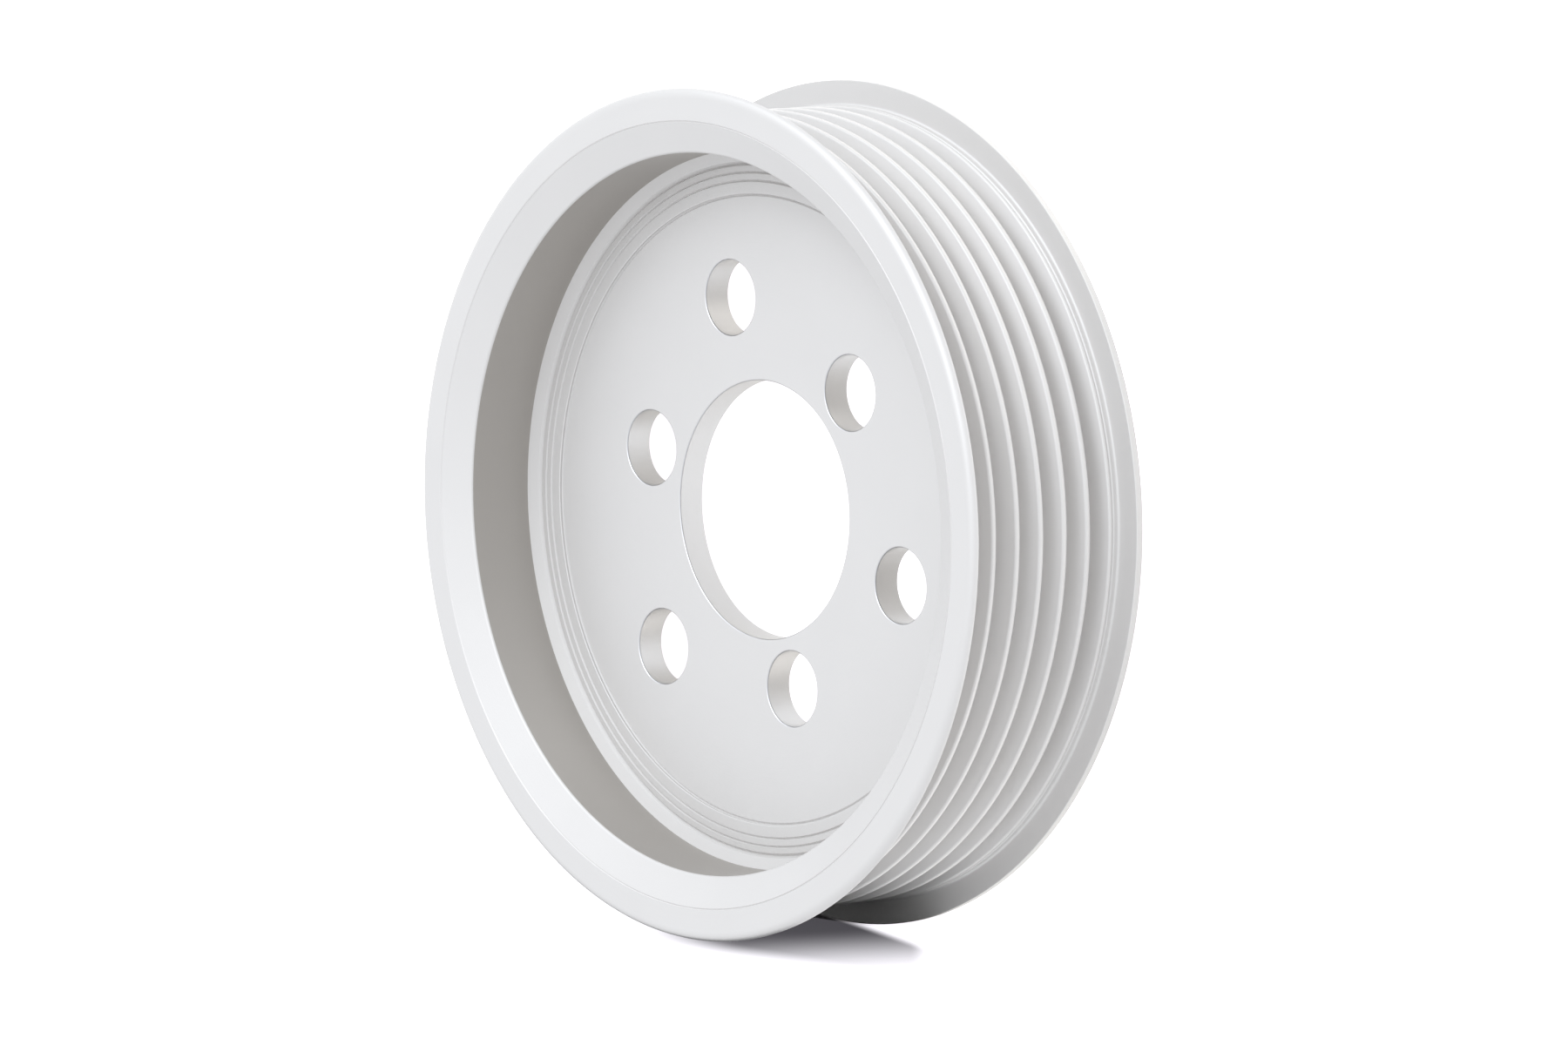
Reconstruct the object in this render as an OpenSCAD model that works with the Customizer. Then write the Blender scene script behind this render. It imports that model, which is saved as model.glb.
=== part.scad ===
// Ribbed-belt pulley for a coolant pump, turned from one piece of aluminium.
// It stands on its rear rim: +Z runs along the axis, out of the open front,
// and the origin is at the middle of the rear rim. All sizes are in millimetres.

/* [Belt grooves] */
// Number of V grooves side by side
groove_count = 6; // [4:1:8]
// Distance from one groove to the next
groove_pitch = 3.56; // [3.2:0.01:3.9]
// Angle between the two flanks of a groove
groove_angle = 40; // [36:1:50]
// Width of the land left between two grooves, rounding included
crest_land = 0.6; // [0.5:0.05:0.9]
// Rounding of the groove edges
crest_round = 0.33; // [0.05:0.01:0.35]
// Rounding at the bottom of a groove
root_round = 0.5; // [0.35:0.01:0.7]

/* [Rim] */
// Diameter over the rib crests
crest_d = 92.5; // [84:0.1:110]
// Height of the two flanges above the rib crests
flange_rise = 2.95; // [2:0.05:5]
// Thickness of each flange at its foot
flange_w = 1.2; // [1.1:0.05:2]
// Thickness of the front flange at its outer edge
front_tip_w = 0.85; // [0.7:0.05:1.1]
// Thickness of the rear flange at its outer edge
rear_tip_w = 1.05; // [0.7:0.05:1.1]
// Shoulder between a flange and the nearest groove
shoulder_w = 1.32; // [1.2:0.02:3]
// Metal left between a groove bottom and the inside wall
root_wall = 1.45; // [1:0.05:3]
// Rounding of the front outer edge
front_round = 1; // [0.4:0.05:1.1]
// Rounding of the rear outer edge
rear_round = 0.4; // [0.2:0.05:0.5]
// Rounding of the flange edges that face the belt
flange_edge_round = 0.12; // [0.06:0.02:0.18]
// Fillet between a flange and its shoulder
flange_fillet = 0.3; // [0.15:0.05:0.5]

/* [Front face] */
// Width of the flat ring on the front face
ring_w = 3.8; // [3:0.1:5]
// Depth that the inner land falls from the ring to the inside wall
land_drop = 1.7; // [0.8:0.1:3]
// Rounding of the lip where the inner land meets the wall
lip_round = 0.4; // [0.3:0.1:1.5]

/* [Web] */
// Depth from the front face to the web
front_recess = 11.15; // [9:0.05:13]
// Thickness of the web
web_t = 3.5; // [2.5:0.1:5]
// Height of the turned step round the web
step_h = 0.3; // [0.2:0.05:0.6]
// Rounding of the edge of that step
step_round = 0.1; // [0.05:0.01:0.15]
// Width of the step inside the innermost turned line
step_w = 1.5; // [0.8:0.1:3]
// Number of turned lines on the step
line_count = 3; // [1:1:4]
// Distance from one turned line to the next
line_pitch = 0.97; // [0.6:0.01:1.5]
// Width of the sloped corner between the step and the wall
corner_w = 1.65; // [1:0.05:2.5]
// Height of that sloped corner
corner_h = 0.7; // [0.4:0.05:1.5]
// Rounding where the rear of the web meets the rear wall
rear_fillet = 1; // [0.5:0.1:2]
// Bevel at the mouth of the rear recess
rear_bevel = 0.5; // [0.2:0.05:1]

/* [Mounting] */
// Centring bore
bore_d = 30; // [16:0.1:32]
// Bolt clearance holes
bolt_d = 8.8; // [5:0.1:9.4]
// Bolt holes on each of the two circles
bolt_count = 3; // [2:1:3]
// Bolt circle of the outer holes
outer_pcd = 50; // [42:0.1:60]
// Bolt circle of the inner holes
inner_pcd = 42; // [41:0.1:50]
// Bevel that breaks the edges of the bore and of the bolt holes
edge_break = 0.2; // [0.1:0.05:0.4]

/* [Turned lines] */
// Width of the fine line inside the flat ring of the front face
ring_line_w = 0.2; // [0.1:0.02:0.4]
// Depth of that fine line
ring_line_depth = 0.05; // [0.03:0.01:0.1]
// Width of a turned line on the step of the web
line_w = 0.24; // [0.1:0.02:0.4]
// Depth of a turned line on the step of the web
line_depth = 0.15; // [0.05:0.01:0.25]
// Depth of the turned line at the foot of the sloped corner
corner_line_depth = 0.21; // [0.1:0.01:0.3]
// Width of the relief line on the rear shoulder
relief_w = 0.34; // [0.2:0.02:0.5]
// Place of the relief line, as a share of the shoulder's width from the flange
relief_place = 0.64; // [0.5:0.01:0.7]
// Depth of the relief line
relief_depth = 0.2; // [0.1:0.01:0.3]

/* [Hidden] */
$fn = 180;
// Overlap that lets cuts pass cleanly through a face
over = 0.05;
alloy_colour = [0.88, 0.88, 0.89];

groove_half_w = (groove_pitch - crest_land) / 2;
root_centre_depth = groove_half_w / tan(groove_angle / 2) - root_round / sin(groove_angle / 2);
groove_depth = root_centre_depth + root_round;
crest_r = crest_d / 2;
rim_r = crest_r + flange_rise;
wall_r = crest_r - groove_depth - root_wall;
bank_w = groove_count * groove_pitch - crest_land;
bank_z = flange_w + shoulder_w;
width = bank_w + 2 * bank_z;

ring_r = rim_r - ring_w;
lip_z = width - land_drop;
land_angle = atan2(land_drop, ring_r - wall_r);

web_front_z = width - front_recess;
web_rear_z = web_front_z - web_t;
step_z = web_front_z + step_h;
line_r = [for (i = [0:line_count - 1]) wall_r - corner_w - i * line_pitch];
step_r = line_r[line_count - 1] - step_w;
bore_r = bore_d / 2;
bolt_r = bolt_d / 2;
// The inner holes lie half way between the outer ones
outer_start = 90;
inner_start = outer_start - 180 / bolt_count;

// Area between the two straight edges that leave corner p at angles a and b
// and the arc of radius r that touches both. Cut away, it rounds an outer
// corner. Added, it fills an inner one.
module corner_area(p, a, b, r) {
    half = abs(b - a) / 2;
    mid = (a + b) / 2;
    centre = p + r / sin(half) * [cos(mid), sin(mid)];
    reach = r / tan(half);
    difference() {
        polygon([
            p - over * [cos(mid), sin(mid)],
            p + reach * [cos(a), sin(a)],
            centre,
            p + reach * [cos(b), sin(b)]
        ]);
        translate(centre) circle(r = r);
    }
}

// V cut of width w and depth d into a face at point p. The angle a points
// from the face into the metal. The cut reaches as high above the face as it
// goes deep, so that it also clears a slope that rises beside it.
module v_cut(p, a, w, d) {
    translate(p) rotate(a) polygon([[-d, -w], [d, 0], [-d, w]]);
}

// One belt groove: two straight flanks that run into a round bottom.
// Here x is the height above the rib crests and y is along the axis.
module groove_area() {
    tangent_x = -root_centre_depth - root_round * sin(groove_angle / 2);
    tangent_y = root_round * cos(groove_angle / 2);
    flare_y = groove_half_w + over * tan(groove_angle / 2);
    polygon([
        [over, -flare_y],
        [tangent_x, -tangent_y],
        [tangent_x, tangent_y],
        [over, flare_y]
    ]);
    translate([-root_centre_depth, 0]) circle(r = root_round);
    for (side = [-1, 1])
        corner_area(
            [0, side * groove_half_w],
            side * 90,
            side * (180 + groove_angle / 2),
            crest_round
        );
}

// Flange that narrows outward, with the fillet at its foot and its outer
// edge on the belt side rounded. Its outside face lies on y = 0.
module flange_area(tip_w) {
    lean = atan2(flange_w - tip_w, flange_rise);
    difference() {
        union() {
            polygon([
                [wall_r, 0],
                [rim_r, 0],
                [rim_r, tip_w],
                [crest_r, flange_w],
                [wall_r, flange_w]
            ]);
            corner_area([crest_r, flange_w], -lean, 90, flange_fillet);
        }
        corner_area([rim_r, tip_w], -180 - lean, -90, flange_edge_round);
    }
}

// Rim before its grooves: inside wall, shoulders and the two flanges
module rim_area() {
    difference() {
        union() {
            translate([wall_r, 0]) square([crest_r - wall_r, width]);
            flange_area(rear_tip_w);
            translate([0, width]) mirror([0, 1]) flange_area(front_tip_w);
        }
        corner_area([rim_r, 0], 90, 180, rear_round);
        corner_area([rim_r, width], -180, -90, front_round);
    }
}

module grooves_area() {
    for (i = [0:groove_count - 1])
        translate([crest_r, bank_z + groove_half_w + i * groove_pitch])
            groove_area();
}

// Sloped land between the flat front ring and the inside wall
module land_area() {
    reach = (ring_r - wall_r + over) / (ring_r - wall_r);
    polygon([
        [wall_r - over, lip_z - over * tan(land_angle)],
        [wall_r + reach * (ring_r - wall_r), lip_z + reach * land_drop],
        [wall_r - over, lip_z + reach * land_drop]
    ]);
    corner_area([wall_r, lip_z], -90, land_angle, lip_round);
}

// Bevel at the mouth of the rear recess
module rear_mouth_area() {
    polygon([
        [wall_r - over, -over],
        [wall_r + rear_bevel + over, -over],
        [wall_r - over, rear_bevel + over]
    ]);
}

// Web with its raised step and the sloped corner that joins it to the wall
module web_area() {
    translate([bore_r, web_rear_z]) square([wall_r + over - bore_r, web_t]);
    difference() {
        translate([step_r, web_rear_z]) square([wall_r + over - step_r, web_t + step_h]);
        corner_area([step_r, step_z], -90, 0, step_round);
    }
    polygon([
        [line_r[0], step_z - over],
        [wall_r + over, step_z - over],
        [wall_r + over, step_z + corner_h],
        [wall_r, step_z + corner_h],
        [line_r[0], step_z]
    ]);
    corner_area([wall_r, web_rear_z], 180, 270, rear_fillet);
}

// Bevels at both ends of the bore
module bore_break_area() {
    for (end = [[web_front_z, 1], [web_rear_z, -1]])
        translate([bore_r, end[0]]) polygon([
            [-over, end[1] * over],
            [edge_break + over, end[1] * over],
            [-over, -end[1] * (edge_break + over)]
        ]);
}

module turned_lines_area() {
    v_cut([ring_r, width], -90, ring_line_w, ring_line_depth);
    for (r = line_r) {
        d = r == line_r[0] ? corner_line_depth : line_depth;
        v_cut([r, step_z], -90, line_w * d / line_depth, d);
    }
    v_cut([crest_r, flange_w + relief_place * shoulder_w], 180, relief_w, relief_depth);
}

// Half section of the whole pulley, x outward from the axis and y along it
module pulley_section() {
    difference() {
        union() {
            difference() {
                rim_area();
                grooves_area();
                land_area();
                rear_mouth_area();
            }
            web_area();
        }
        bore_break_area();
        turned_lines_area();
    }
}

// Bolt hole through the web, bevelled at both ends
module bolt_hole() {
    translate([0, 0, web_rear_z - over])
        cylinder(h = web_t + 2 * over, r = bolt_r);
    translate([0, 0, web_front_z - edge_break])
        cylinder(h = edge_break + over, r1 = bolt_r, r2 = bolt_r + edge_break + over);
    translate([0, 0, web_rear_z - over])
        cylinder(h = edge_break + over, r1 = bolt_r + edge_break + over, r2 = bolt_r);
}

// Bolt holes evenly spaced on one circle
module bolt_circle(pcd, start) {
    for (i = [0:bolt_count - 1])
        rotate(start + i * 360 / bolt_count)
            translate([pcd / 2, 0, 0]) bolt_hole();
}

module pulley() {
    color(alloy_colour)
        difference() {
            rotate_extrude() pulley_section();
            bolt_circle(outer_pcd, outer_start);
            bolt_circle(inner_pcd, inner_start);
        }
}

pulley();
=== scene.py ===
"""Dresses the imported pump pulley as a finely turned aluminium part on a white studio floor."""
import math

import bmesh
import bpy
from bpy.props import FloatProperty, FloatVectorProperty, IntProperty, PointerProperty
from mathutils import Matrix, Vector


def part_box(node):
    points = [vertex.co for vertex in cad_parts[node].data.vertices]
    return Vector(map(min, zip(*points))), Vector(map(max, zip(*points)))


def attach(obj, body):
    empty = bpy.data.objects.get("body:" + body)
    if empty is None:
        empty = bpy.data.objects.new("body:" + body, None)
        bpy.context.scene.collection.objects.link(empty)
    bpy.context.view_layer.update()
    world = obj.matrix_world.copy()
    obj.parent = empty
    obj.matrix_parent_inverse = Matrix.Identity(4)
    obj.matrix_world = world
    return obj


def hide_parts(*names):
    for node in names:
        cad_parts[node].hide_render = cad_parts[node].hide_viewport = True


bl_info = {
    "name": "Pump Pulley",
    "version": (1, 0, 0),
    "blender": (4, 5, 0),
    "location": "View3D > Sidebar > Pulley",
    "description": "Ribbed-belt pulley in turned aluminium, with its studio stage",
    "category": "Object",
}

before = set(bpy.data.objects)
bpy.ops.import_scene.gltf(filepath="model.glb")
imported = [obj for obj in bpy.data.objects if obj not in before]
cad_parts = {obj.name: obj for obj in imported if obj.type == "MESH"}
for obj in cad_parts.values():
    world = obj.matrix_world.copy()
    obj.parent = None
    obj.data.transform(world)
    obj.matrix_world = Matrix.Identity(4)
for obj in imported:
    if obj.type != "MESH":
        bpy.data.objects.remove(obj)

MM = 0.001
NODE = "pulley"
BODY = "root"
FINISHES = ("turned", "wall", "bored")
TURNED, PAINTED_SHADE_WALL, BORED = range(len(FINISHES))
LAMPS = ("key", "far", "right", "back", "left")
CAD_LOW, CAD_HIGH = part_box(NODE)
# How near a point lies to a face that it is part of
NEAR = 0.012 * MM
# Anisotropic rotation is a share of a full turn
QUARTER_TURN = 0.25
MARK_DETAIL = 3
MARK_ROUGHNESS = 0.7
GRAIN_DETAIL = 2
PATCH_DETAIL = 2
NODE_SPACING = 200


def length(label, about, millimetres):
    """A length property that is written in millimetres and kept in metres."""
    return FloatProperty(
        name=label,
        description=about,
        default=millimetres * MM,
        min=0,
        precision=5,
        subtype="DISTANCE",
        unit="LENGTH",
    )


def angle(label, about, degrees):
    """An angle property that is written in degrees."""
    return FloatProperty(
        name=label,
        description=about,
        default=math.radians(degrees),
        subtype="ANGLE",
        unit="ROTATION",
    )


def share(label, about, value):
    """A plain share from 0 to 1."""
    return FloatProperty(
        name=label, description=about, default=value, min=0, max=1, subtype="FACTOR"
    )


def level(label, about, value):
    """A brightness, where 1 shows as white."""
    return FloatProperty(name=label, description=about, default=value, min=0)


def colour(label, about, value):
    """A linear colour without alpha."""
    return FloatVectorProperty(
        name=label,
        description=about,
        default=value,
        size=3,
        min=0,
        max=1,
        subtype="COLOR",
    )


class PulleySizes(bpy.types.PropertyGroup):
    """Sizes of the turned section; its fine lines are a little bolder than the solid's."""

    rim_diameter: length(
        "Rim diameter", "Over both flanges", (CAD_HIGH.y - CAD_LOW.y) / MM
    )
    width: length("Width", "From the front face to the rear rim", CAD_HIGH.z / MM)
    groove_count: IntProperty(
        name="Grooves", description="Number of belt grooves", default=6, min=1
    )
    groove_pitch: length("Groove pitch", "From one groove to the next", 3.56)
    groove_angle: angle("Groove angle", "Between the flanks of a groove", 40)
    crest_land: length("Crest land", "Land between two grooves", 0.6)
    crest_round: length("Crest rounding", "Rounding of the groove edges", 0.33)
    root_round: length("Root rounding", "Rounding of the groove bottoms", 0.5)
    crest_diameter: length("Crest diameter", "Over the rib crests", 92.5)
    flange_foot: length("Flange foot", "Thickness of a flange at its foot", 1.2)
    front_tip: length("Front tip", "Thickness of the front flange's edge", 0.85)
    rear_tip: length("Rear tip", "Thickness of the rear flange's edge", 1.05)
    front_round: length("Front rounding", "Rounding of the front outer edge", 1.0)
    rear_round: length("Rear rounding", "Rounding of the rear outer edge", 0.4)
    tip_round: length("Tip rounding", "Rear flange's edge on the belt side", 0.12)
    front_tip_round: length("Front tip rounding", "The same on the front flange", 0.06)
    flange_fillet: length("Flange fillet", "Fillet at a flange's foot", 0.3)
    wall_diameter: length("Wall diameter", "Inside wall of the rim", 83.39)
    ring_width: length("Ring width", "Flat ring of the front face", 3.8)
    land_drop: length("Land drop", "Fall of the sloped land inside the ring", 1.7)
    lip_round: length("Lip rounding", "Lip between the land and the wall", 0.4)
    ring_line_width: length("Ring line", "Width of the line inside the ring", 0.24)
    ring_line_depth: length("Ring line depth", "Depth of that line", 0.12)
    front_recess: length("Front recess", "From the front face to the web", 11.15)
    web_thickness: length("Web thickness", "Of the thin web", 3.5)
    step_height: length("Step height", "Turned step round the web", 0.3)
    step_width: length("Step width", "Step inside the innermost line", 1.5)
    step_round: length("Step rounding", "Edge of the turned step", 0.1)
    line_count: IntProperty(
        name="Lines", description="Turned lines on the step", default=3, min=1
    )
    line_pitch: length("Line pitch", "From one turned line to the next", 0.97)
    line_width: length("Line width", "Width of a turned line", 0.32)
    line_depth: length("Line depth", "Depth of a turned line", 0.22)
    corner_line_depth: length("Corner line", "Depth of the outermost line", 0.3)
    corner_width: length("Corner width", "Sloped corner below the wall", 1.65)
    corner_height: length("Corner height", "Height of the sloped corner", 0.7)
    relief_width: length("Relief width", "Relief line behind the grooves", 0.34)
    relief_depth: length("Relief depth", "Depth of the relief line", 0.2)
    relief_place: share("Relief place", "Across the shoulder from the flange", 0.64)
    rear_fillet: length("Rear fillet", "Rear corner between web and wall", 1.0)
    rear_bevel: length("Rear bevel", "Mouth of the rear recess", 0.5)
    bore_diameter: length("Bore", "Centring bore", 30)
    hole_diameter: length("Bolt holes", "Bolt clearance holes", 8.8)
    outer_circle: length("Outer bolt circle", "Diameter of the circle", 50)
    inner_circle: length("Inner bolt circle", "Diameter of the circle", 42)
    holes_each: IntProperty(
        name="Holes", description="Holes on each bolt circle", default=3, min=1
    )
    edge_break: length("Edge break", "Broken edges of bore and holes", 0.2)
    arc_step: angle("Arc step", "Largest turn between points of an arc", 15)
    arc_guard: length("Arc guard", "From an arc to the point that keeps its flat", 0.03)
    ring_guard: length("Ring guard", "The same beside the front outer edge", 0.12)
    skirt: length("Skirt", "Flat web face that is made with a hole", 0.6)
    sharp_angle: angle("Sharp angle", "Edges that turn further are kept sharp", 20)
    spin_steps: IntProperty(
        name="Turn steps", description="Faces round the pulley", default=288, min=24
    )
    hole_steps: IntProperty(
        name="Hole steps", description="Faces round a bolt hole", default=72, min=12
    )


class FinishSettings(bpy.types.PropertyGroup):
    """Finish of the turned faces, of the inside wall and of the bored holes; the inside wall's
    darker colour is painted shade.
    """

    turned_metal: colour("Turned metal", "Colour of turned faces", (0.712, 0.7, 0.688))
    turned_roughness: share("Turned roughness", "Roughness of turned faces", 0.52)
    turned_metallic: share("Turned shine", "Share of mirror in turned faces", 0.45)
    turned_stretch: share("Turned stretch", "Stretch of shine across the marks", 0.05)
    # Painted shade: the inside wall's darker colour stands in for the shade that falls in the
    # front recess
    wall_metal: colour("Wall metal", "Colour of the inside wall", (0.47, 0.448, 0.419))
    wall_roughness: share("Wall roughness", "Roughness of the inside wall", 0.38)
    wall_metallic: share("Wall shine", "Share of mirror in the inside wall", 0.8)
    wall_stretch: share("Wall stretch", "Stretch of shine across the marks", 0.7)
    bored_metal: colour("Bored metal", "Colour of bore and holes", (0.675, 0.68, 0.695))
    bored_roughness: share("Bored roughness", "Roughness of bore and holes", 0.3)
    bored_metallic: share("Bored shine", "Share of mirror in bore and holes", 1.0)
    bored_stretch: share("Bored stretch", "Stretch of shine across the marks", 0.0)
    tone_change: share("Tone change", "How much darker the patches get", 0.03)
    shine_change: share("Shine change", "Change of roughness along the marks", 0.03)
    bump_height: length("Bump height", "Height of marks and grain at full strength", 0.1)
    mark_pitch: length("Mark pitch", "Spacing of the turning marks", 0.16)
    mark_strength: share("Mark strength", "Strength of the turning marks", 0.05)
    grain_size: length("Grain size", "Size of the satin grain", 0.25)
    grain_strength: share("Grain strength", "Strength of the satin grain", 0.06)
    patch_size: length("Patch size", "Size of the soft patches of tone", 9.0)


class StageSettings(bpy.types.PropertyGroup):
    """Camera, floor and lamps."""

    lens: FloatProperty(
        name="Lens",
        description="Focal length on the sensor",
        default=280,
        min=1,
        unit="CAMERA",
    )
    sensor: FloatProperty(
        name="Sensor",
        description="Width of the sensor",
        default=36,
        min=1,
        unit="CAMERA",
    )
    yaw: angle("Yaw", "Turn of the view away from the axis", 49.387)
    pitch: angle("Pitch", "Tilt of the view", 5.477)
    roll: angle("Roll", "Turn of the pulley about its axis in the view", 13.8)
    distance: length("Distance", "From the lens to the front face", 1401.9)
    aim_right: length("Aim right", "Front centre left of the view's middle", 10.83)
    aim_down: length("Aim down", "Front centre above the view's middle", 0.763)
    clip_near: length("Near limit", "Nearest thing that the lens shows", 100)
    clip_far: length("Far limit", "Farthest thing that the lens shows", 20000)
    floor_tone: share("Floor tone", "How pale the floor is", 0.72)
    floor_size: length("Floor size", "Side of the square floor", 6000)
    # Painted shadow on the floor: its colour in full shade and the shape of that painted shade
    painted_shade_colour: colour("Shade colour", "Floor in full shade", (0.15, 0.142, 0.155))
    shade_fade: length("Shade fade", "Where the shade begins to fade outward", 49.9)
    shade_end: length("Shade end", "Where the shade has faded", 57)
    shade_lean: share("Shade lean", "Slant of the shade's fading", 0.133)
    shade_edge: length("Shade edge", "Outer edge of the shade", 55.1)
    shade_edge_blur: length("Edge blur", "Blur of the outer edge", 2.4)
    shade_top: length("Shade top", "Inner edge of the shade", 49.5)
    shade_top_blur: length("Top blur", "Blur of the inner edge", 1.2)
    shade_top_slant: share("Top slant", "Slant of the inner edge", 0.14)
    shade_right: length("Shade right", "Right end of the shade", 11.5)
    shade_right_blur: length("Right blur", "Blur of the right end", 5)
    shade_left: length("Shade left", "Left end of the shade", 33)
    shade_left_blur: length("Left blur", "Blur of the left end", 26)
    floor_glow: colour("Floor glow", "Floor as the lens sees it", (0.975, 0.94, 1.0))
    # Painted light: a glow on the floor that only the metal's reflections see, dimmed under the
    # pulley as painted shade
    floor_painted_shine: colour("Floor shine", "Light the metal sees beside it", (1.0, 0.96, 0.9))
    under_painted_shine: share("Under shine", "Share of that light under the pulley", 0.56)
    under_half: length("Under half", "Half the width of the part under it", 30)
    pool_half: length("Pool half", "Half the width of the pool of light", 90)
    pool_blur: length("Pool blur", "Blur of the pool's edges", 15)
    ambient: level("Ambient", "Light from all round", 1.01)
    ambient_colour: colour("Ambient colour", "Light from all round", (0.95, 0.967, 1))
    card_height: length("Card height", "Top of the black card", 25.6)
    card_lid_height: length("Lid height", "Height of the card's lid", 24.4)
    card_lid: length("Card lid", "Width of the lid over the belt's space", 6)
    card_gap: length("Card gap", "From the rim to the black card", 0.3)
    card_colour: colour("Card colour", "Black of the card", (0.01, 0.01, 0.01))
    card_left: length("Card left", "Length of the card left of the axis", 80)
    card_right: length("Card right", "Length of the card right of the axis", 16)
    lamp_distance: length("Lamp distance", "From the lamps to the pulley", 1200)
    lamp_colour: colour("Lamp colour", "Light of the lamps", (0.908, 0.953, 1))
    key_azimuth: angle("Key azimuth", "Direction of the key lamp", 45)
    key_elevation: angle("Key elevation", "Height of the key lamp", 58)
    key_size: length("Key size", "Side of the key lamp", 560)
    key_level: level("Key level", "Brightness of the key lamp's face", 2.2)
    far_azimuth: angle("Far azimuth", "Direction of the far lamp", 75)
    far_elevation: angle("Far elevation", "Height of the far lamp", 44)
    far_size: length("Far size", "Side of the far lamp", 560)
    far_level: level("Far level", "Brightness of the far lamp's face", 2.9)
    right_azimuth: angle("Right azimuth", "Direction of the right lamp", 5)
    right_elevation: angle("Right elevation", "Height of the right lamp", 62)
    right_size: length("Right size", "Side of the right lamp", 560)
    right_level: level("Right level", "Brightness of the right lamp's face", 0.65)
    back_azimuth: angle("Back azimuth", "Direction of the back lamp", 105)
    back_elevation: angle("Back elevation", "Height of the back lamp", 18)
    back_size: length("Back size", "Side of the back lamp", 560)
    back_level: level("Back level", "Brightness of the back lamp's face", 1.05)
    left_azimuth: angle("Left azimuth", "Direction of the left lamp", 165)
    left_elevation: angle("Left elevation", "Height of the left lamp", 26)
    left_size: length("Left size", "Side of the left lamp", 900)
    left_level: level("Left level", "Brightness of the left lamp's face", 0.12)


def rounded(corners, sizes):
    """Points of an open outline whose corners are (radius, height, rounding)."""
    step, guard = sizes.arc_step, sizes.arc_guard
    points = [Vector(corners[0][:2])]
    for here, after in zip(corners[1:], corners[2:]):
        corner, radius = Vector(here[:2]), here[2]
        if radius <= 0:
            points.append(corner)
            continue
        back = (points[-1] - corner).normalized()
        onward = (Vector(after[:2]) - corner).normalized()
        half = back.angle(onward) / 2
        reach = radius / math.tan(half)
        middle = corner + (back + onward).normalized() * (radius / math.sin(half))
        first = corner + back * reach
        turn = (first - middle).angle_signed(corner + onward * reach - middle)
        count = max(3, math.ceil(abs(turn) / step))
        points.append(corner + back * (reach + guard))
        for i in range(count + 1):
            spoke = Matrix.Rotation(-turn * i / count, 2)
            points.append(middle + spoke @ (first - middle))
        points.append(corner + onward * (reach + guard))
    points.append(Vector(corners[-1][:2]))
    return points


def line_corners(radius, height, width, depth):
    """A V-shaped turned line in a flat that faces forward."""
    return [
        (radius - width / 2, height, 0),
        (radius, height - depth, 0),
        (radius + width / 2, height, 0),
    ]


def web_corners(s, wall, web_front):
    """Step round the web with its turned lines, and the sloped corner."""
    step = web_front + s.step_height
    lines = [wall - s.corner_width - i * s.line_pitch for i in range(s.line_count)]
    foot = lines[-1] - s.step_width
    corners = line_corners(foot - s.line_width / 2, web_front, s.line_width, s.line_depth)
    corners.append((foot, step, s.step_round))
    for radius in reversed(lines[1:]):
        corners += line_corners(radius, step, s.line_width, s.line_depth)
    half = s.line_width * s.corner_line_depth / s.line_depth / 2
    flank = s.corner_line_depth / half
    slope = s.corner_height / s.corner_width
    out = half * flank / (flank - slope)
    corners += [
        (lines[0] - half, step, 0),
        (lines[0], step - s.corner_line_depth, 0),
        (lines[0] + out, step + out * slope, 0),
        (wall, step + s.corner_height, 0),
    ]
    return corners


def front_corners(s, wall, rim):
    """Lip, sloped land, flat ring and the rounded outer edge."""
    ring = rim - s.ring_width
    slope = s.land_drop / (ring - wall)
    flank = 2 * s.ring_line_depth / s.ring_line_width
    inward = s.ring_line_depth / (flank + slope)
    corners = [
        (wall, s.width - s.land_drop, s.lip_round),
        (ring - inward, s.width - inward * slope, 0),
        (ring, s.width - s.ring_line_depth, 0),
        (ring + s.ring_line_width / 2, s.width, 0),
        (rim - s.front_round - s.ring_guard, s.width, 0),
    ]
    end = math.asin((s.front_round - s.front_tip) / s.front_round)
    count = math.ceil((math.pi / 2 - end) / s.arc_step)
    for i in range(count):
        a = math.pi / 2 - (math.pi / 2 - end) * i / count
        corners.append(
            (
                rim - s.front_round * (1 - math.cos(a)),
                s.width - s.front_round * (1 - math.sin(a)),
                0,
            )
        )
    tip = rim - s.front_round * (1 - math.cos(end))
    corners.append((tip, s.width - s.front_tip, s.front_tip_round))
    return corners


def groove_corners(s, crest):
    """The belt grooves from front to rear, between the two shoulders."""
    half = (s.groove_pitch - s.crest_land) / 2
    depth = half / math.tan(s.groove_angle / 2)
    corners = []
    for i in range(s.groove_count):
        middle = s.width / 2 + ((s.groove_count - 1) / 2 - i) * s.groove_pitch
        corners += [
            (crest, middle + half, s.crest_round),
            (crest - depth, middle, s.root_round),
            (crest, middle - half, s.crest_round),
        ]
    return corners


def rear_corners(s, crest, wall, rim, web_rear):
    """Rear shoulder with its relief line, rear flange, rear rim and recess."""
    bank = s.groove_count * s.groove_pitch - s.crest_land
    shoulder = (s.width - bank) / 2 - s.flange_foot
    relief = s.flange_foot + s.relief_place * shoulder
    return [
        (crest, relief + s.relief_width / 2, 0),
        (crest - s.relief_depth, relief, 0),
        (crest, relief - s.relief_width / 2, 0),
        (crest, s.flange_foot, s.flange_fillet),
        (rim, s.rear_tip, s.tip_round),
        (rim, 0, s.rear_round),
        (wall + s.rear_bevel, 0, 0),
        (wall, s.rear_bevel, 0),
        (wall, web_rear, s.rear_fillet),
        (wall - 2 * s.rear_fillet, web_rear, 0),
    ]


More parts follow.
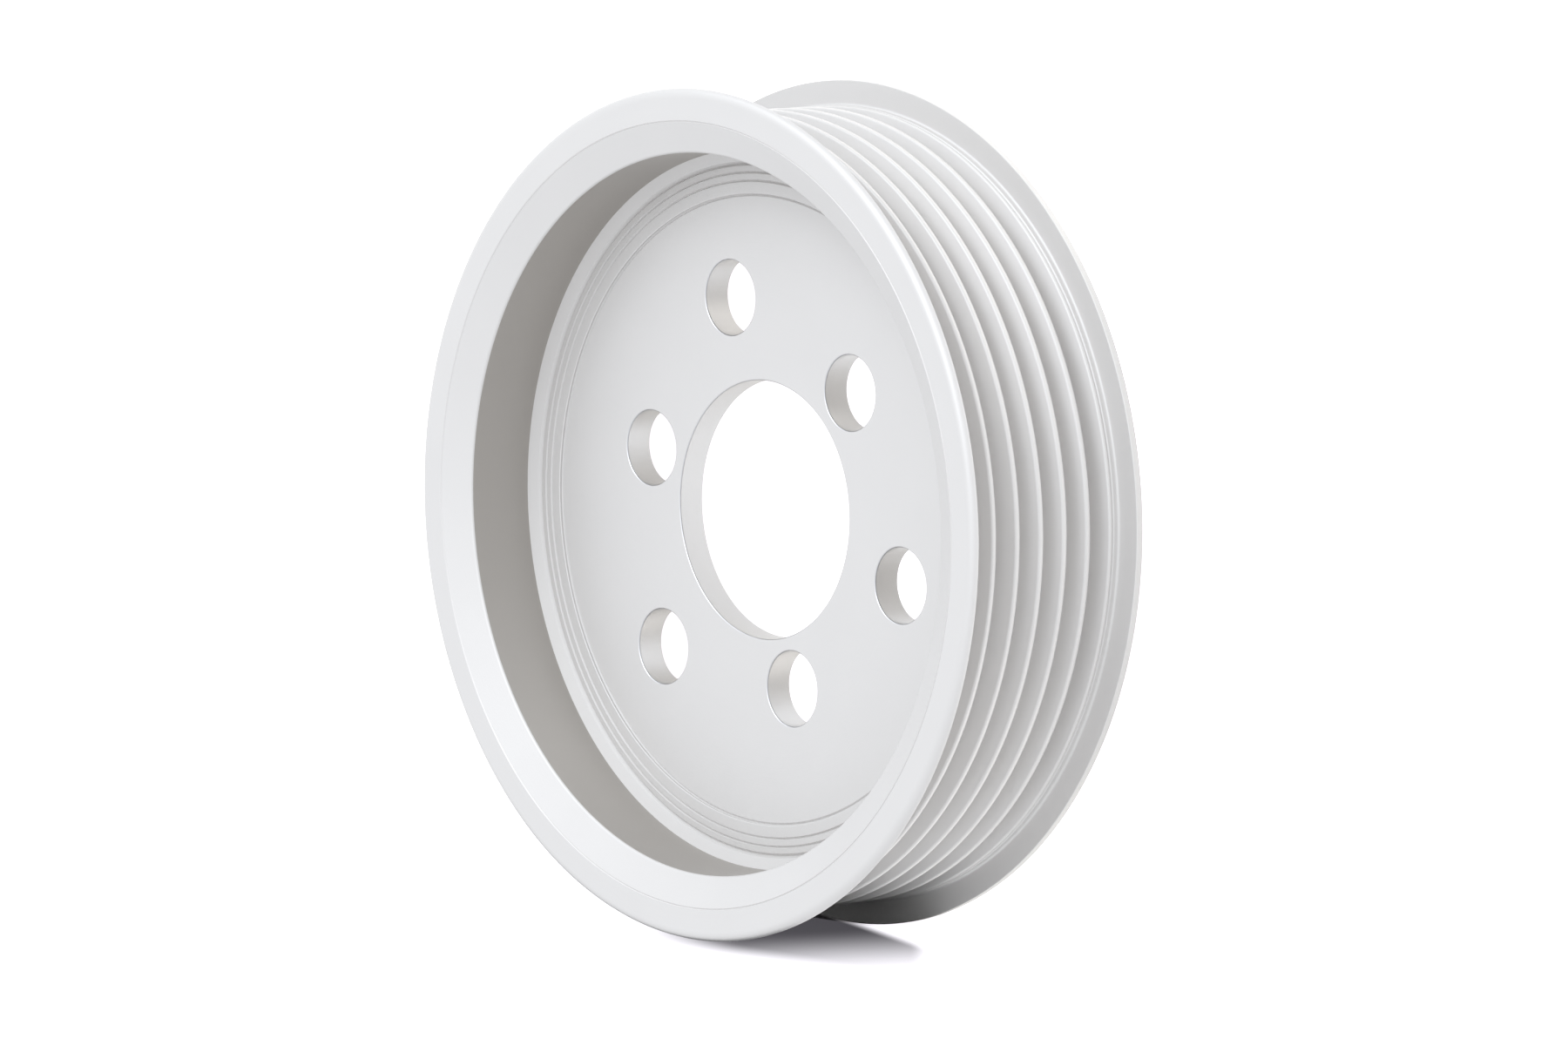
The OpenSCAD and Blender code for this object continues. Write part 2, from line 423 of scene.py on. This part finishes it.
def rim_outline(s):
    """Half section from the step on the web's front, round the rim, to its rear."""
    rim, crest, wall = s.rim_diameter / 2, s.crest_diameter / 2, s.wall_diameter / 2
    web_front = s.width - s.front_recess
    web_rear = web_front - s.web_thickness
    corners = web_corners(s, wall, web_front)
    corners += front_corners(s, wall, rim)
    corners.append((crest, s.width - s.flange_foot, s.flange_fillet))
    corners += groove_corners(s, crest)
    corners += rear_corners(s, crest, wall, rim, web_rear)
    return rounded(corners, s)


def hole_outline(s, radius):
    """Wall of a round hole through the web, with both edges rounded."""
    web_front = s.width - s.front_recess
    web_rear = web_front - s.web_thickness
    skirt = radius + s.skirt
    corners = [
        (skirt, web_front, 0),
        (radius, web_front, s.edge_break),
        (radius, web_rear, s.edge_break),
        (skirt, web_rear, 0),
    ]
    return rounded(corners, s)


def add_spun(bm, outline, centre, steps, finish):
    """Adds an outline spun round the upright axis through centre, in one finish."""
    ring = bmesh.new()
    verts = [ring.verts.new((centre.x + p.x, centre.y, p.y)) for p in outline]
    edges = [ring.edges.new(pair) for pair in zip(verts, verts[1:])]
    bmesh.ops.spin(
        ring,
        geom=verts + edges,
        cent=centre,
        axis=(0, 0, 1),
        dvec=(0, 0, 0),
        angle=math.tau,
        steps=steps,
        use_merge=True,
    )
    for face in ring.faces:
        face.material_index = finish
    spun = bpy.data.meshes.new("spun")
    ring.to_mesh(spun)
    ring.free()
    bm.from_mesh(spun)
    bpy.data.meshes.remove(spun)


def hole_centres(s):
    """Centres of the bolt circles, where inner holes lie half way between outer ones."""
    centres = []
    between = math.tau / s.holes_each
    outer_start = math.pi / 2
    inner_start = outer_start - between / 2
    for diameter, start in ((s.outer_circle, outer_start), (s.inner_circle, inner_start)):
        for i in range(s.holes_each):
            a = start + i * between
            centres.append(Vector((math.cos(a), math.sin(a), 0)) * diameter / 2)
    return centres


def fill_web_face(bm, height):
    """Closes the web's flat face at that height, between its rings and holes."""
    edges = [
        e
        for e in bm.edges
        if e.is_boundary and all(abs(v.co.z - height) < NEAR for v in e.verts)
    ]
    filled = bmesh.ops.triangle_fill(
        bm, use_beauty=True, use_dissolve=False, edges=edges, normal=(0, 0, 1)
    )
    if not filled["geom"]:
        raise RuntimeError("the web's face was not filled")


def finish_wall_and_mouths(bm, s):
    """Gives the front recess's wall its own material, whose darker colour is painted shade, and
    hole mouths that of the web.
    """
    web_front = s.width - s.front_recess
    for face in bm.faces:
        points = [v.co for v in face.verts]
        on_wall = all(abs(p.xy.length - s.wall_diameter / 2) < NEAR for p in points)
        if on_wall and min(p.z for p in points) > web_front:
            face.material_index = PAINTED_SHADE_WALL
        at_mouth = max(p.z for p in points) > web_front - NEAR
        if face.material_index == BORED and at_mouth:
            face.material_index = TURNED


def pulley_mesh(s):
    """The whole pulley as one closed mesh, sharp where the tool left an edge."""
    web_front = s.width - s.front_recess
    bm = bmesh.new()
    bore, hole = (hole_outline(s, d / 2) for d in (s.bore_diameter, s.hole_diameter))
    add_spun(bm, rim_outline(s), Vector(), s.spin_steps, TURNED)
    add_spun(bm, bore, Vector(), s.spin_steps, BORED)
    for centre in hole_centres(s):
        add_spun(bm, hole, centre, s.hole_steps, BORED)
    finish_wall_and_mouths(bm, s)
    fill_web_face(bm, web_front)
    fill_web_face(bm, web_front - s.web_thickness)
    bmesh.ops.recalc_face_normals(bm, faces=bm.faces)
    if any(not e.is_manifold for e in bm.edges):
        raise RuntimeError("the pulley's mesh is not closed")
    for face in bm.faces:
        face.smooth = True
    for edge in bm.edges:
        edge.smooth = edge.calc_face_angle() < s.sharp_angle
    mesh = bpy.data.meshes.new(NODE + "_turned")
    bm.to_mesh(mesh)
    bm.free()
    return mesh


def add_nodes(tree, kinds):
    """Makes the named nodes in a row below the others and returns them by name."""
    row = min((node.location.y for node in tree.nodes), default=0) - NODE_SPACING
    made = {}
    for column, (name, kind) in enumerate(kinds.items()):
        node = tree.nodes.new(kind)
        node.name = name
        node.label = name.replace("_", " ")
        node.location = (column * NODE_SPACING, row)
        made[name] = node
    return made


def turned_texture_group():
    """Node group: turning marks that ring the axis, satin grain and soft patches."""
    name = "turned texture"
    if name in bpy.data.node_groups:
        return bpy.data.node_groups[name]
    tree = bpy.data.node_groups.new(name, "ShaderNodeTree")
    for label, kind in (
        ("Position", "NodeSocketVector"),
        ("Mark Pitch", "NodeSocketFloat"),
        ("Mark Strength", "NodeSocketFloat"),
        ("Grain Size", "NodeSocketFloat"),
        ("Grain Strength", "NodeSocketFloat"),
        ("Patch Size", "NodeSocketFloat"),
    ):
        tree.interface.new_socket(name=label, in_out="INPUT", socket_type=kind)
    for label in ("Height", "Marks", "Patches"):
        tree.interface.new_socket(
            name=label, in_out="OUTPUT", socket_type="NodeSocketFloat"
        )
    n = add_nodes(
        tree,
        {
            "given": "NodeGroupInput",
            "split": "ShaderNodeSeparateXYZ",
            "flat": "ShaderNodeCombineXYZ",
            "radius": "ShaderNodeVectorMath",
            "along": "ShaderNodeMath",
            "mark_count": "ShaderNodeMath",
            "marks": "ShaderNodeTexNoise",
            "grain_scale": "ShaderNodeMath",
            "grain": "ShaderNodeTexNoise",
            "patch_scale": "ShaderNodeMath",
            "patches": "ShaderNodeTexNoise",
            "mark_height": "ShaderNodeMath",
            "grain_height": "ShaderNodeMath",
            "height": "ShaderNodeMath",
            "result": "NodeGroupOutput",
        },
    )
    n["radius"].operation = "LENGTH"
    n["along"].operation = "ADD"
    n["mark_count"].operation = "DIVIDE"
    n["marks"].noise_dimensions = "1D"
    n["marks"].inputs["Scale"].default_value = 1
    n["marks"].inputs["Detail"].default_value = MARK_DETAIL
    n["marks"].inputs["Roughness"].default_value = MARK_ROUGHNESS
    for scale in ("grain_scale", "patch_scale"):
        n[scale].operation = "DIVIDE"
        n[scale].inputs[0].default_value = 1
    n["grain"].inputs["Detail"].default_value = GRAIN_DETAIL
    n["patches"].inputs["Detail"].default_value = PATCH_DETAIL
    n["mark_height"].operation = "MULTIPLY"
    n["grain_height"].operation = "MULTIPLY"
    n["height"].operation = "ADD"
    link = tree.links.new
    given = n["given"].outputs
    link(given["Position"], n["split"].inputs[0])
    link(n["split"].outputs["X"], n["flat"].inputs["X"])
    link(n["split"].outputs["Y"], n["flat"].inputs["Y"])
    link(n["flat"].outputs[0], n["radius"].inputs[0])
    link(n["radius"].outputs["Value"], n["along"].inputs[0])
    link(n["split"].outputs["Z"], n["along"].inputs[1])
    link(n["along"].outputs[0], n["mark_count"].inputs[0])
    link(given["Mark Pitch"], n["mark_count"].inputs[1])
    link(n["mark_count"].outputs[0], n["marks"].inputs["W"])
    link(given["Grain Size"], n["grain_scale"].inputs[1])
    link(n["grain_scale"].outputs[0], n["grain"].inputs["Scale"])
    link(given["Position"], n["grain"].inputs["Vector"])
    link(given["Patch Size"], n["patch_scale"].inputs[1])
    link(n["patch_scale"].outputs[0], n["patches"].inputs["Scale"])
    link(given["Position"], n["patches"].inputs["Vector"])
    link(n["marks"].outputs["Fac"], n["mark_height"].inputs[0])
    link(given["Mark Strength"], n["mark_height"].inputs[1])
    link(n["grain"].outputs["Fac"], n["grain_height"].inputs[0])
    link(given["Grain Strength"], n["grain_height"].inputs[1])
    link(n["mark_height"].outputs[0], n["height"].inputs[0])
    link(n["grain_height"].outputs[0], n["height"].inputs[1])
    link(n["height"].outputs[0], n["result"].inputs["Height"])
    link(n["marks"].outputs["Fac"], n["result"].inputs["Marks"])
    link(n["patches"].outputs["Fac"], n["result"].inputs["Patches"])
    return tree


def aluminium(finish, name):
    """Bare aluminium with turning marks, grain and faint changes of tone."""
    metal, roughness, metallic, stretch = (
        getattr(finish, f"{name}_{part}")
        for part in ("metal", "roughness", "metallic", "stretch")
    )
    material = bpy.data.materials.new(f"{name}_aluminium")
    material.use_nodes = True
    tree = material.node_tree
    shader = tree.nodes["Principled BSDF"]
    shader.inputs["Metallic"].default_value = metallic
    shader.inputs["Anisotropic"].default_value = stretch
    shader.inputs["Anisotropic Rotation"].default_value = QUARTER_TURN
    n = add_nodes(
        tree,
        {
            "place": "ShaderNodeTexCoord",
            "texture": "ShaderNodeGroup",
            "tone": "ShaderNodeMapRange",
            "tint": "ShaderNodeMix",
            "shine": "ShaderNodeMapRange",
            "bump": "ShaderNodeBump",
            "along_marks": "ShaderNodeTangent",
        },
    )
    n["texture"].node_tree = turned_texture_group()
    n["texture"].inputs["Mark Pitch"].default_value = finish.mark_pitch
    n["texture"].inputs["Mark Strength"].default_value = finish.mark_strength
    n["texture"].inputs["Grain Size"].default_value = finish.grain_size
    n["texture"].inputs["Grain Strength"].default_value = finish.grain_strength
    n["texture"].inputs["Patch Size"].default_value = finish.patch_size
    n["tint"].data_type = "RGBA"
    darker = [part * (1 - finish.tone_change) for part in metal]
    n["tint"].inputs["A"].default_value = (*darker, 1)
    n["tint"].inputs["B"].default_value = (*metal, 1)
    n["shine"].inputs["To Min"].default_value = roughness - finish.shine_change
    n["shine"].inputs["To Max"].default_value = roughness + finish.shine_change
    n["bump"].inputs["Distance"].default_value = finish.bump_height
    n["along_marks"].direction_type = "RADIAL"
    n["along_marks"].axis = "Z"
    link = tree.links.new
    link(n["place"].outputs["Object"], n["texture"].inputs["Position"])
    link(n["texture"].outputs["Patches"], n["tone"].inputs["Value"])
    link(n["tone"].outputs[0], n["tint"].inputs["Factor"])
    link(n["tint"].outputs["Result"], shader.inputs["Base Color"])
    link(n["texture"].outputs["Marks"], n["shine"].inputs["Value"])
    link(n["shine"].outputs[0], shader.inputs["Roughness"])
    link(n["texture"].outputs["Height"], n["bump"].inputs["Height"])
    link(n["bump"].outputs[0], shader.inputs["Normal"])
    link(n["along_marks"].outputs[0], shader.inputs["Tangent"])
    return material


class PULLEY_OT_body(bpy.types.Operator):
    """Turns the pulley, gives it its finish and lets it stand for the CAD solid"""

    bl_idname = "pulley.body"
    bl_label = "Turned pulley"

    def execute(self, context):
        mesh = pulley_mesh(context.scene.pulley_sizes)
        for name in FINISHES:
            mesh.materials.append(aluminium(context.scene.pulley_finish, name))
        body = bpy.data.objects.new("turned_pulley", mesh)
        context.scene.collection.objects.link(body)
        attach(body, BODY)
        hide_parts(NODE)
        return {"FINISHED"}


def place_camera(scene, stage):
    """Camera at the photograph's viewing angle; the front face is its anchor."""
    flip = Matrix.Diagonal((1, -1, -1))
    look = (
        Matrix.Rotation(stage.pitch, 3, "X")
        @ Matrix.Rotation(stage.yaw, 3, "Y")
        @ flip
        @ Matrix.Rotation(stage.roll, 3, "Z")
    )
    front = Vector((-stage.aim_right, -stage.aim_down, stage.distance))
    place = Vector((0, 0, CAD_HIGH.z)) - look.transposed() @ front
    data = bpy.data.cameras.new("camera")
    data.lens = stage.lens
    data.sensor_width = stage.sensor
    data.clip_start = stage.clip_near
    data.clip_end = stage.clip_far
    camera = bpy.data.objects.new("camera", data)
    camera.matrix_world = Matrix.Translation(place) @ (flip @ look).transposed().to_4x4()
    scene.collection.objects.link(camera)
    scene.camera = camera


def white_world(stage):
    """World that lights softly from all round and looks plain white to the lens."""
    world = bpy.data.worlds.new("studio")
    world.use_nodes = True
    tree = world.node_tree
    n = add_nodes(tree, {"ray": "ShaderNodeLightPath", "light": "ShaderNodeMix"})
    n["light"].data_type = "RGBA"
    ambient = [stage.ambient * part for part in stage.ambient_colour]
    n["light"].inputs["A"].default_value = (*ambient, 1)
    n["light"].inputs["B"].default_value = (1, 1, 1, 1)
    link = tree.links.new
    link(n["ray"].outputs["Is Camera Ray"], n["light"].inputs["Factor"])
    link(n["light"].outputs["Result"], tree.nodes["Background"].inputs["Color"])
    return world


def level_direction(azimuth):
    """Level direction at that azimuth."""
    return Vector((math.cos(azimuth), math.sin(azimuth), 0))


def near_side(stage):
    """Level directions outward and to the right at the picture's lower edge."""
    return level_direction(-math.pi / 2 - stage.roll), level_direction(-stage.roll)


def span(middle, blur):
    """Both ends of a blurred edge."""
    return middle - blur / 2, middle + blur / 2


def add_ramp(tree, place, name, along, start, end, low, high):
    """Level that goes from low to high between two distances along a direction."""
    n = add_nodes(
        tree, {name + "_place": "ShaderNodeVectorMath", name: "ShaderNodeMapRange"}
    )
    n[name + "_place"].operation = "DOT_PRODUCT"
    n[name + "_place"].inputs[1].default_value = along
    n[name].interpolation_type = "SMOOTHSTEP"
    n[name].inputs["From Min"].default_value = start
    n[name].inputs["From Max"].default_value = end
    n[name].inputs["To Min"].default_value = low
    n[name].inputs["To Max"].default_value = high
    tree.links.new(place, n[name + "_place"].inputs[0])
    tree.links.new(n[name + "_place"].outputs["Value"], n[name].inputs["Value"])
    return n[name].outputs[0]


def add_product(tree, factors):
    """Product of several levels."""
    product = factors[0]
    for factor in factors[1:]:
        node = add_nodes(tree, {"product": "ShaderNodeMath"})["product"]
        node.operation = "MULTIPLY"
        tree.links.new(product, node.inputs[0])
        tree.links.new(factor, node.inputs[1])
        product = node.outputs[0]
    return product


def painted_shade_level(tree, place, stage):
    """Painted shadow on the floor at the pulley's near side, from 0 to 1."""
    outward, right = near_side(stage)
    lean = outward + right * stage.shade_lean
    slant = outward - right * stage.shade_top_slant
    edge = span(stage.shade_edge, stage.shade_edge_blur)
    top = span(stage.shade_top, stage.shade_top_blur)
    left = span(-stage.shade_left, stage.shade_left_blur)
    end = span(stage.shade_right, stage.shade_right_blur)
    return add_product(
        tree,
        [
            add_ramp(tree, place, "fade", lean, stage.shade_fade, stage.shade_end, 1, 0),
            add_ramp(tree, place, "edge", outward, *edge, 1, 0),
            add_ramp(tree, place, "top", slant, *top, 0, 1),
            add_ramp(tree, place, "left", right, *left, 0, 1),
            add_ramp(tree, place, "right", right, *end, 1, 0),
        ],
    )


def painted_shine_level(tree, place, ray, stage):
    """Painted pool of light: glow on the floor that only the metal mirrors, with painted shade
    that makes it weaker under the part.
    """
    pool = span(stage.pool_half, stage.pool_blur)
    under = span(stage.under_half, stage.pool_blur)
    n = add_nodes(
        tree, {"turned": "ShaderNodeVectorRotate", "aside": "ShaderNodeVectorMath"}
    )
    n["turned"].rotation_type = "Z_AXIS"
    n["turned"].inputs["Angle"].default_value = stage.roll
    n["aside"].operation = "ABSOLUTE"
    tree.links.new(place, n["turned"].inputs["Vector"])
    tree.links.new(n["turned"].outputs[0], n["aside"].inputs[0])
    aside, across = n["aside"].outputs[0], (0, 1, 0)
    return add_product(
        tree,
        [
            ray.outputs["Is Glossy Ray"],
            add_ramp(tree, aside, "pool", across, *pool, 1, 0),
            add_ramp(tree, aside, "under", across, *under, stage.under_painted_shine, 1),
        ],
    )


def floor_material(stage):
    """Pale floor that is white to the lens but for a painted shadow at the near side, with a
    painted glow that only the metal mirrors.
    """
    material = bpy.data.materials.new("white_floor")
    material.use_nodes = True
    material.cycles.emission_sampling = "NONE"
    tree = material.node_tree
    tree.nodes.remove(tree.nodes["Principled BSDF"])
    out = tree.nodes["Material Output"]
    n = add_nodes(
        tree,
        {
            "place": "ShaderNodeTexCoord",
            "tone": "ShaderNodeMix",
            "lit": "ShaderNodeMath",
            "ray": "ShaderNodeLightPath",
            "paint": "ShaderNodeBsdfDiffuse",
            "white_glow": "ShaderNodeEmission",
            "shine_glow": "ShaderNodeEmission",
            "glow": "ShaderNodeAddShader",
            "sum": "ShaderNodeAddShader",
        },
    )
    place = n["place"].outputs["Object"]
    shade = painted_shade_level(tree, place, stage)
    shine = painted_shine_level(tree, place, n["ray"], stage)
    n["tone"].data_type = "RGBA"
    n["tone"].inputs["A"].default_value = (*[stage.floor_tone] * 3, 1)
    n["tone"].inputs["B"].default_value = (*stage.painted_shade_colour, 1)
    n["lit"].operation = "SUBTRACT"
    n["lit"].inputs[0].default_value = 1
    n["white_glow"].inputs["Color"].default_value = (*stage.floor_glow, 1)
    n["shine_glow"].inputs["Color"].default_value = (*stage.floor_painted_shine, 1)
    link = tree.links.new
    # The painted shadow darkens the floor's paint and takes its white glow away
    link(shade, n["tone"].inputs["Factor"])
    link(n["tone"].outputs["Result"], n["paint"].inputs["Color"])
    link(shade, n["lit"].inputs[1])
    white = add_product(tree, [n["lit"].outputs[0], n["ray"].outputs["Is Camera Ray"]])
    link(white, n["white_glow"].inputs["Strength"])
    # The painted glow reaches only the metal's reflections
    link(shine, n["shine_glow"].inputs["Strength"])
    link(n["white_glow"].outputs[0], n["glow"].inputs[0])
    link(n["shine_glow"].outputs[0], n["glow"].inputs[1])
    link(n["paint"].outputs[0], n["sum"].inputs[0])
    link(n["glow"].outputs[0], n["sum"].inputs[1])
    link(n["sum"].outputs[0], out.inputs["Surface"])
    return material


def add_floor(scene, stage):
    """Level floor that the rear rim stands on."""
    bm = bmesh.new()
    bmesh.ops.create_grid(bm, x_segments=1, y_segments=1, size=stage.floor_size / 2)
    mesh = bpy.data.meshes.new("floor")
    bm.to_mesh(mesh)
    bm.free()
    mesh.materials.append(floor_material(stage))
    floor = bpy.data.objects.new("floor", mesh)
    scene.collection.objects.link(floor)


def add_card(scene, stage):
    """Upright black card with a lid over the belt's space, shading the near side."""
    outward, right = near_side(stage)
    foot = outward * (CAD_HIGH.y + stage.card_gap) - right * stage.card_left
    hinge = foot + Vector((0, 0, stage.card_lid_height))
    top = foot + Vector((0, 0, stage.card_height))
    bm = bmesh.new()
    low, high, middle, edge = (
        bm.verts.new(point)
        for point in (foot, top, hinge, hinge - outward * stage.card_lid)
    )
    edges = [bm.edges.new(pair) for pair in ((low, middle), (middle, high), (middle, edge))]
    swept = bmesh.ops.extrude_edge_only(bm, edges=edges)["geom"]
    moved = [part for part in swept if isinstance(part, bmesh.types.BMVert)]
    across = stage.card_left + stage.card_right
    bmesh.ops.translate(bm, verts=moved, vec=right * across)
    mesh = bpy.data.meshes.new("card")
    bm.to_mesh(mesh)
    bm.free()
    material = bpy.data.materials.new("black_card")
    material.use_nodes = True
    shader = material.node_tree.nodes["Principled BSDF"]
    shader.inputs["Base Color"].default_value = (*stage.card_colour, 1)
    shader.inputs["Specular IOR Level"].default_value = 0
    mesh.materials.append(material)
    card = bpy.data.objects.new("black_card", mesh)
    card.visible_camera = False
    scene.collection.objects.link(card)


def add_softbox(scene, stage, name):
    """Square lamp that faces the pulley; the stage settings of that name place it."""
    azimuth, elevation, size, brightness = (
        getattr(stage, f"{name}_{part}")
        for part in ("azimuth", "elevation", "size", "level")
    )
    data = bpy.data.lights.new(name, "AREA")
    data.shape = "SQUARE"
    data.size = size
    data.color = stage.lamp_colour
    data.energy = math.pi * size**2 * brightness
    lamp = bpy.data.objects.new(name, data)
    away = level_direction(azimuth) * math.cos(elevation)
    away.z = math.sin(elevation)
    target = Vector((0, 0, CAD_HIGH.z / 2))
    lamp.location = target + away * stage.lamp_distance
    lamp.rotation_mode = "QUATERNION"
    lamp.rotation_quaternion = away.to_track_quat("Z", "Y")
    lamp.visible_camera = False
    scene.collection.objects.link(lamp)


class PULLEY_OT_stage(bpy.types.Operator):
    """Sets the floor, the white surroundings, the lamps and the camera"""

    bl_idname = "pulley.stage"
    bl_label = "Studio stage"

    def execute(self, context):
        scene = context.scene
        stage = scene.pulley_stage
        scene.view_settings.view_transform = "Standard"
        place_camera(scene, stage)
        scene.world = white_world(stage)
        add_floor(scene, stage)
        add_card(scene, stage)
        for name in LAMPS:
            add_softbox(scene, stage, name)
        return {"FINISHED"}


class PULLEY_PT_panel(bpy.types.Panel):
    """Lists the pulley's steps and sizes in the 3D view's sidebar"""

    bl_idname = "PULLEY_PT_panel"
    bl_label = "Pump pulley"
    bl_space_type = "VIEW_3D"
    bl_region_type = "UI"
    bl_category = "Pulley"

    def draw(self, context):
        layout = self.layout
        for operator in OPERATORS:
            layout.operator(operator.bl_idname)
        for name in SETTINGS:
            group = getattr(context.scene, name)
            box = layout.box()
            for key in group.bl_rna.properties.keys():
                if key not in ("rna_type", "name"):
                    box.prop(group, key)


OPERATORS = (PULLEY_OT_body, PULLEY_OT_stage)
SETTINGS = {
    "pulley_sizes": PulleySizes,
    "pulley_finish": FinishSettings,
    "pulley_stage": StageSettings,
}


def register():
    """Makes the operators, the panel and the settings known to Blender."""
    for cls in (*SETTINGS.values(), *OPERATORS, PULLEY_PT_panel):
        bpy.utils.register_class(cls)
    for name, group in SETTINGS.items():
        setattr(bpy.types.Scene, name, PointerProperty(type=group))


def unregister():
    """Takes them away again."""
    for name in SETTINGS:
        delattr(bpy.types.Scene, name)
    for cls in reversed((*SETTINGS.values(), *OPERATORS, PULLEY_PT_panel)):
        bpy.utils.unregister_class(cls)


def main():
    """Builds everything in order."""
    register()
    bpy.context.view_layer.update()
    bpy.ops.pulley.body()
    bpy.ops.pulley.stage()


if __name__ == "__main__":
    main()
